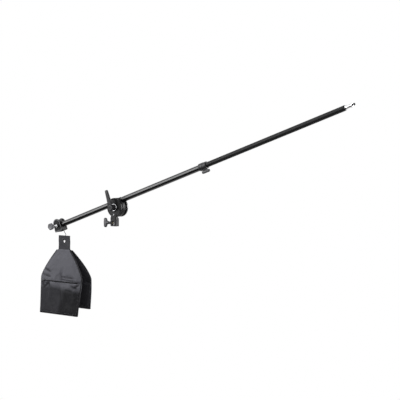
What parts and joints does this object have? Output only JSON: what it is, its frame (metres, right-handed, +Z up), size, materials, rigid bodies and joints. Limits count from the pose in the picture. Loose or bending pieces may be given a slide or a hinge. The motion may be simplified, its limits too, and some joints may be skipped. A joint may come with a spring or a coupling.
{
  "type": "telescopic extension arm",
  "caption": "Telescopic boom arm with a lever clamp on a stand socket, a mounting stud, and a counterweight bag hung from a sliding clamp.",
  "frame": {"origin": "centre of the stand socket's mouth", "axes": "+Z up along the stand, +X level towards the arm's stud end, -Y on the lever's side"},
  "size_m": [1.694, 0.1317, 0.9353],
  "materials": {
    "casting": "black painted die casting",
    "tube_gloss": "glossy black",
    "tube_satin": "satin black",
    "steel": "zinc plated",
    "dark_steel": "black oxide",
    "plastic": "fine texture",
    "rubber": "matt",
    "brass": "turned",
    "cloth": "coated polyester weave"
  },
  "bodies": {
    "socket": {"socket_casting": "casting", "socket_insert": "brass"},
    "socket_pad": {"socket_pad": "brass"},
    "socket_knob": {"socket_screw": "steel", "socket_knob": "plastic"},
    "jaws": {"friction_disc": "rubber", "front_jaw": "casting", "front_liner": "rubber", "dowel_left": "steel", "dowel_right": "steel", "jaw_spring": "steel"},
    "rear_clamp": {"rear_jaw": "casting", "rear_liner": "rubber", "centre_bolt": "steel", "bolt_washer": "steel"},
    "clamp_nut": {"thrust_washer": "steel", "clamp_nut": "steel", "lever_screw": "steel", "lever_spring": "steel"},
    "lever": {"lever": "plastic"},
    "arm": {"lower_tube": "tube_gloss", "tail_plug": "plastic", "lock_collar": "plastic", "collar_rivet_front": "steel", "collar_rivet_rear": "steel", "collar_insert": "brass"},
    "lock_pad": {"lock_pad": "brass"},
    "lock_knob": {"lock_screw": "steel", "lock_knob": "plastic"},
    "slide_bush": {"slide_bush": "plastic"},
    "upper": {"upper_tube": "tube_satin", "stud": "steel", "stud_tip": "dark_steel", "stud_pin_inner": "steel", "stud_pin_outer": "steel"},
    "hanger": {"hanger_body": "casting", "hanger_insert": "brass"},
    "hanger_pad": {"hanger_pad": "brass"},
    "hanger_knob": {"hanger_screw": "steel", "hanger_knob": "plastic"},
    "hook": {"s_hook": "steel"},
    "bag": {"bag_tab": "cloth", "eyelet_front": "dark_steel", "eyelet_rear": "dark_steel"},
    "front_pocket": {"front_pocket": "cloth", "front_zip": "cloth"},
    "rear_pocket": {"rear_pocket": "cloth", "rear_zip": "cloth"},
    "front_slider": {"front_zip_slider": "dark_steel"},
    "rear_slider": {"rear_zip_slider": "dark_steel"}
  },
  "joints": [
    {"name": "socket_pad_slide", "type": "slide", "parent": "socket", "child": "socket_pad", "axis": [-1, 0, 0], "range_m": [0, 0.00437]},
    {"name": "socket_knob_turn", "type": "hinge", "parent": "socket_pad", "child": "socket_knob", "pos_m": [0, 0, 0.0145], "axis": [-1, 0, 0], "range_deg": [0, 1260]},
    {"name": "jaw_tilt", "type": "hinge", "parent": "socket", "child": "jaws", "pos_m": [0, 0, 0.083], "axis": [0, -1, 0], "range_deg": [-58, 47]},
    {"name": "rear_jaw_slide", "type": "slide", "parent": "jaws", "child": "rear_clamp", "axis": [0, 1, 0], "range_m": [0, 0.0003749]},
    {"name": "lever_turn", "type": "hinge", "parent": "socket", "child": "clamp_nut", "pos_m": [0, 0, 0.083], "axis": [0, -1, 0], "range_deg": [0, 90]},
    {"name": "lever_pull", "type": "slide", "parent": "clamp_nut", "child": "lever", "axis": [0, -1, 0], "range_m": [0, 0.0035], "stiffness_N_per_m": 800, "springref_m": -0.001, "deforming": ["lever_spring"]},
    {"name": "arm_slide", "type": "slide", "parent": "jaws", "child": "arm", "axis": [0.95, 0, 0.3123], "range_m": [-0.42, 0.14]},
    {"name": "lock_pad_slide", "type": "slide", "parent": "arm", "child": "lock_pad", "axis": [0.3123, 0, -0.95], "range_m": [0, 0.000972]},
    {"name": "lock_knob_turn", "type": "hinge", "parent": "lock_pad", "child": "lock_knob", "pos_m": [0.4895, 0.0245, 0.27026], "axis": [0.3123, 0, -0.95], "range_deg": [0, 280]},
    {"name": "telescope", "type": "slide", "parent": "arm", "child": "slide_bush", "axis": [0.95, 0, 0.3123], "range_m": [-0.37, 0.04]},
    {"name": "upper_tube_roll", "type": "hinge", "parent": "slide_bush", "child": "upper", "pos_m": [-0.00781, 0.0245, 0.10675], "axis": [0.95, 0, 0.3123], "continuous": true},
    {"name": "hanger_slide", "type": "slide", "parent": "arm", "child": "hanger", "axis": [0.95, 0, 0.3123], "range_m": [0, 0.095]},
    {"name": "hanger_pad_slide", "type": "slide", "parent": "hanger", "child": "hanger_pad", "axis": [0.0163, -0.9986, -0.0497], "range_m": [0, 0.000972]},
    {"name": "hanger_knob_turn", "type": "hinge", "parent": "hanger_pad", "child": "hanger_knob", "pos_m": [-0.37165, 0.0245, -0.01287], "axis": [0.0163, -0.9986, -0.0497], "range_deg": [0, 280]},
    {"name": "hook_swing", "type": "hinge", "parent": "hanger", "child": "hook", "pos_m": [-0.34914, 0.03073, -0.03011], "axis": [1, 0, 0], "range_deg": [-15, 15]},
    {"name": "bag_swing", "type": "hinge", "parent": "hook", "child": "bag", "pos_m": [-0.34914, 0.03073, -0.08048], "axis": [0, 1, 0], "range_deg": [-45, 45]},
    {"name": "front_pocket_swing", "type": "hinge", "parent": "bag", "child": "front_pocket", "pos_m": [-0.34914, 0.02568, -0.12311], "axis": [1, 0, 0], "range_deg": [-30, 0]},
    {"name": "rear_pocket_swing", "type": "hinge", "parent": "bag", "child": "rear_pocket", "pos_m": [-0.34914, 0.03578, -0.12311], "axis": [1, 0, 0], "range_deg": [0, 30]},
    {"name": "front_zip_slide", "type": "slide", "parent": "front_pocket", "child": "front_slider", "axis": [1, 0, 0], "range_m": [0, 0.205]},
    {"name": "rear_zip_slide", "type": "slide", "parent": "rear_pocket", "child": "rear_slider", "axis": [1, 0, 0], "range_m": [0, 0.205]}
  ],
  "couplings": [
    {"joint": "socket_knob_turn", "follows": "socket_pad_slide", "rad_per_m": 5026.5},
    {"joint": "lever_turn", "follows": "rear_jaw_slide", "rad_per_m": 4188.8},
    {"joint": "lock_knob_turn", "follows": "lock_pad_slide", "rad_per_m": 5026.5},
    {"joint": "hanger_knob_turn", "follows": "hanger_pad_slide", "rad_per_m": 5026.5}
  ]
}
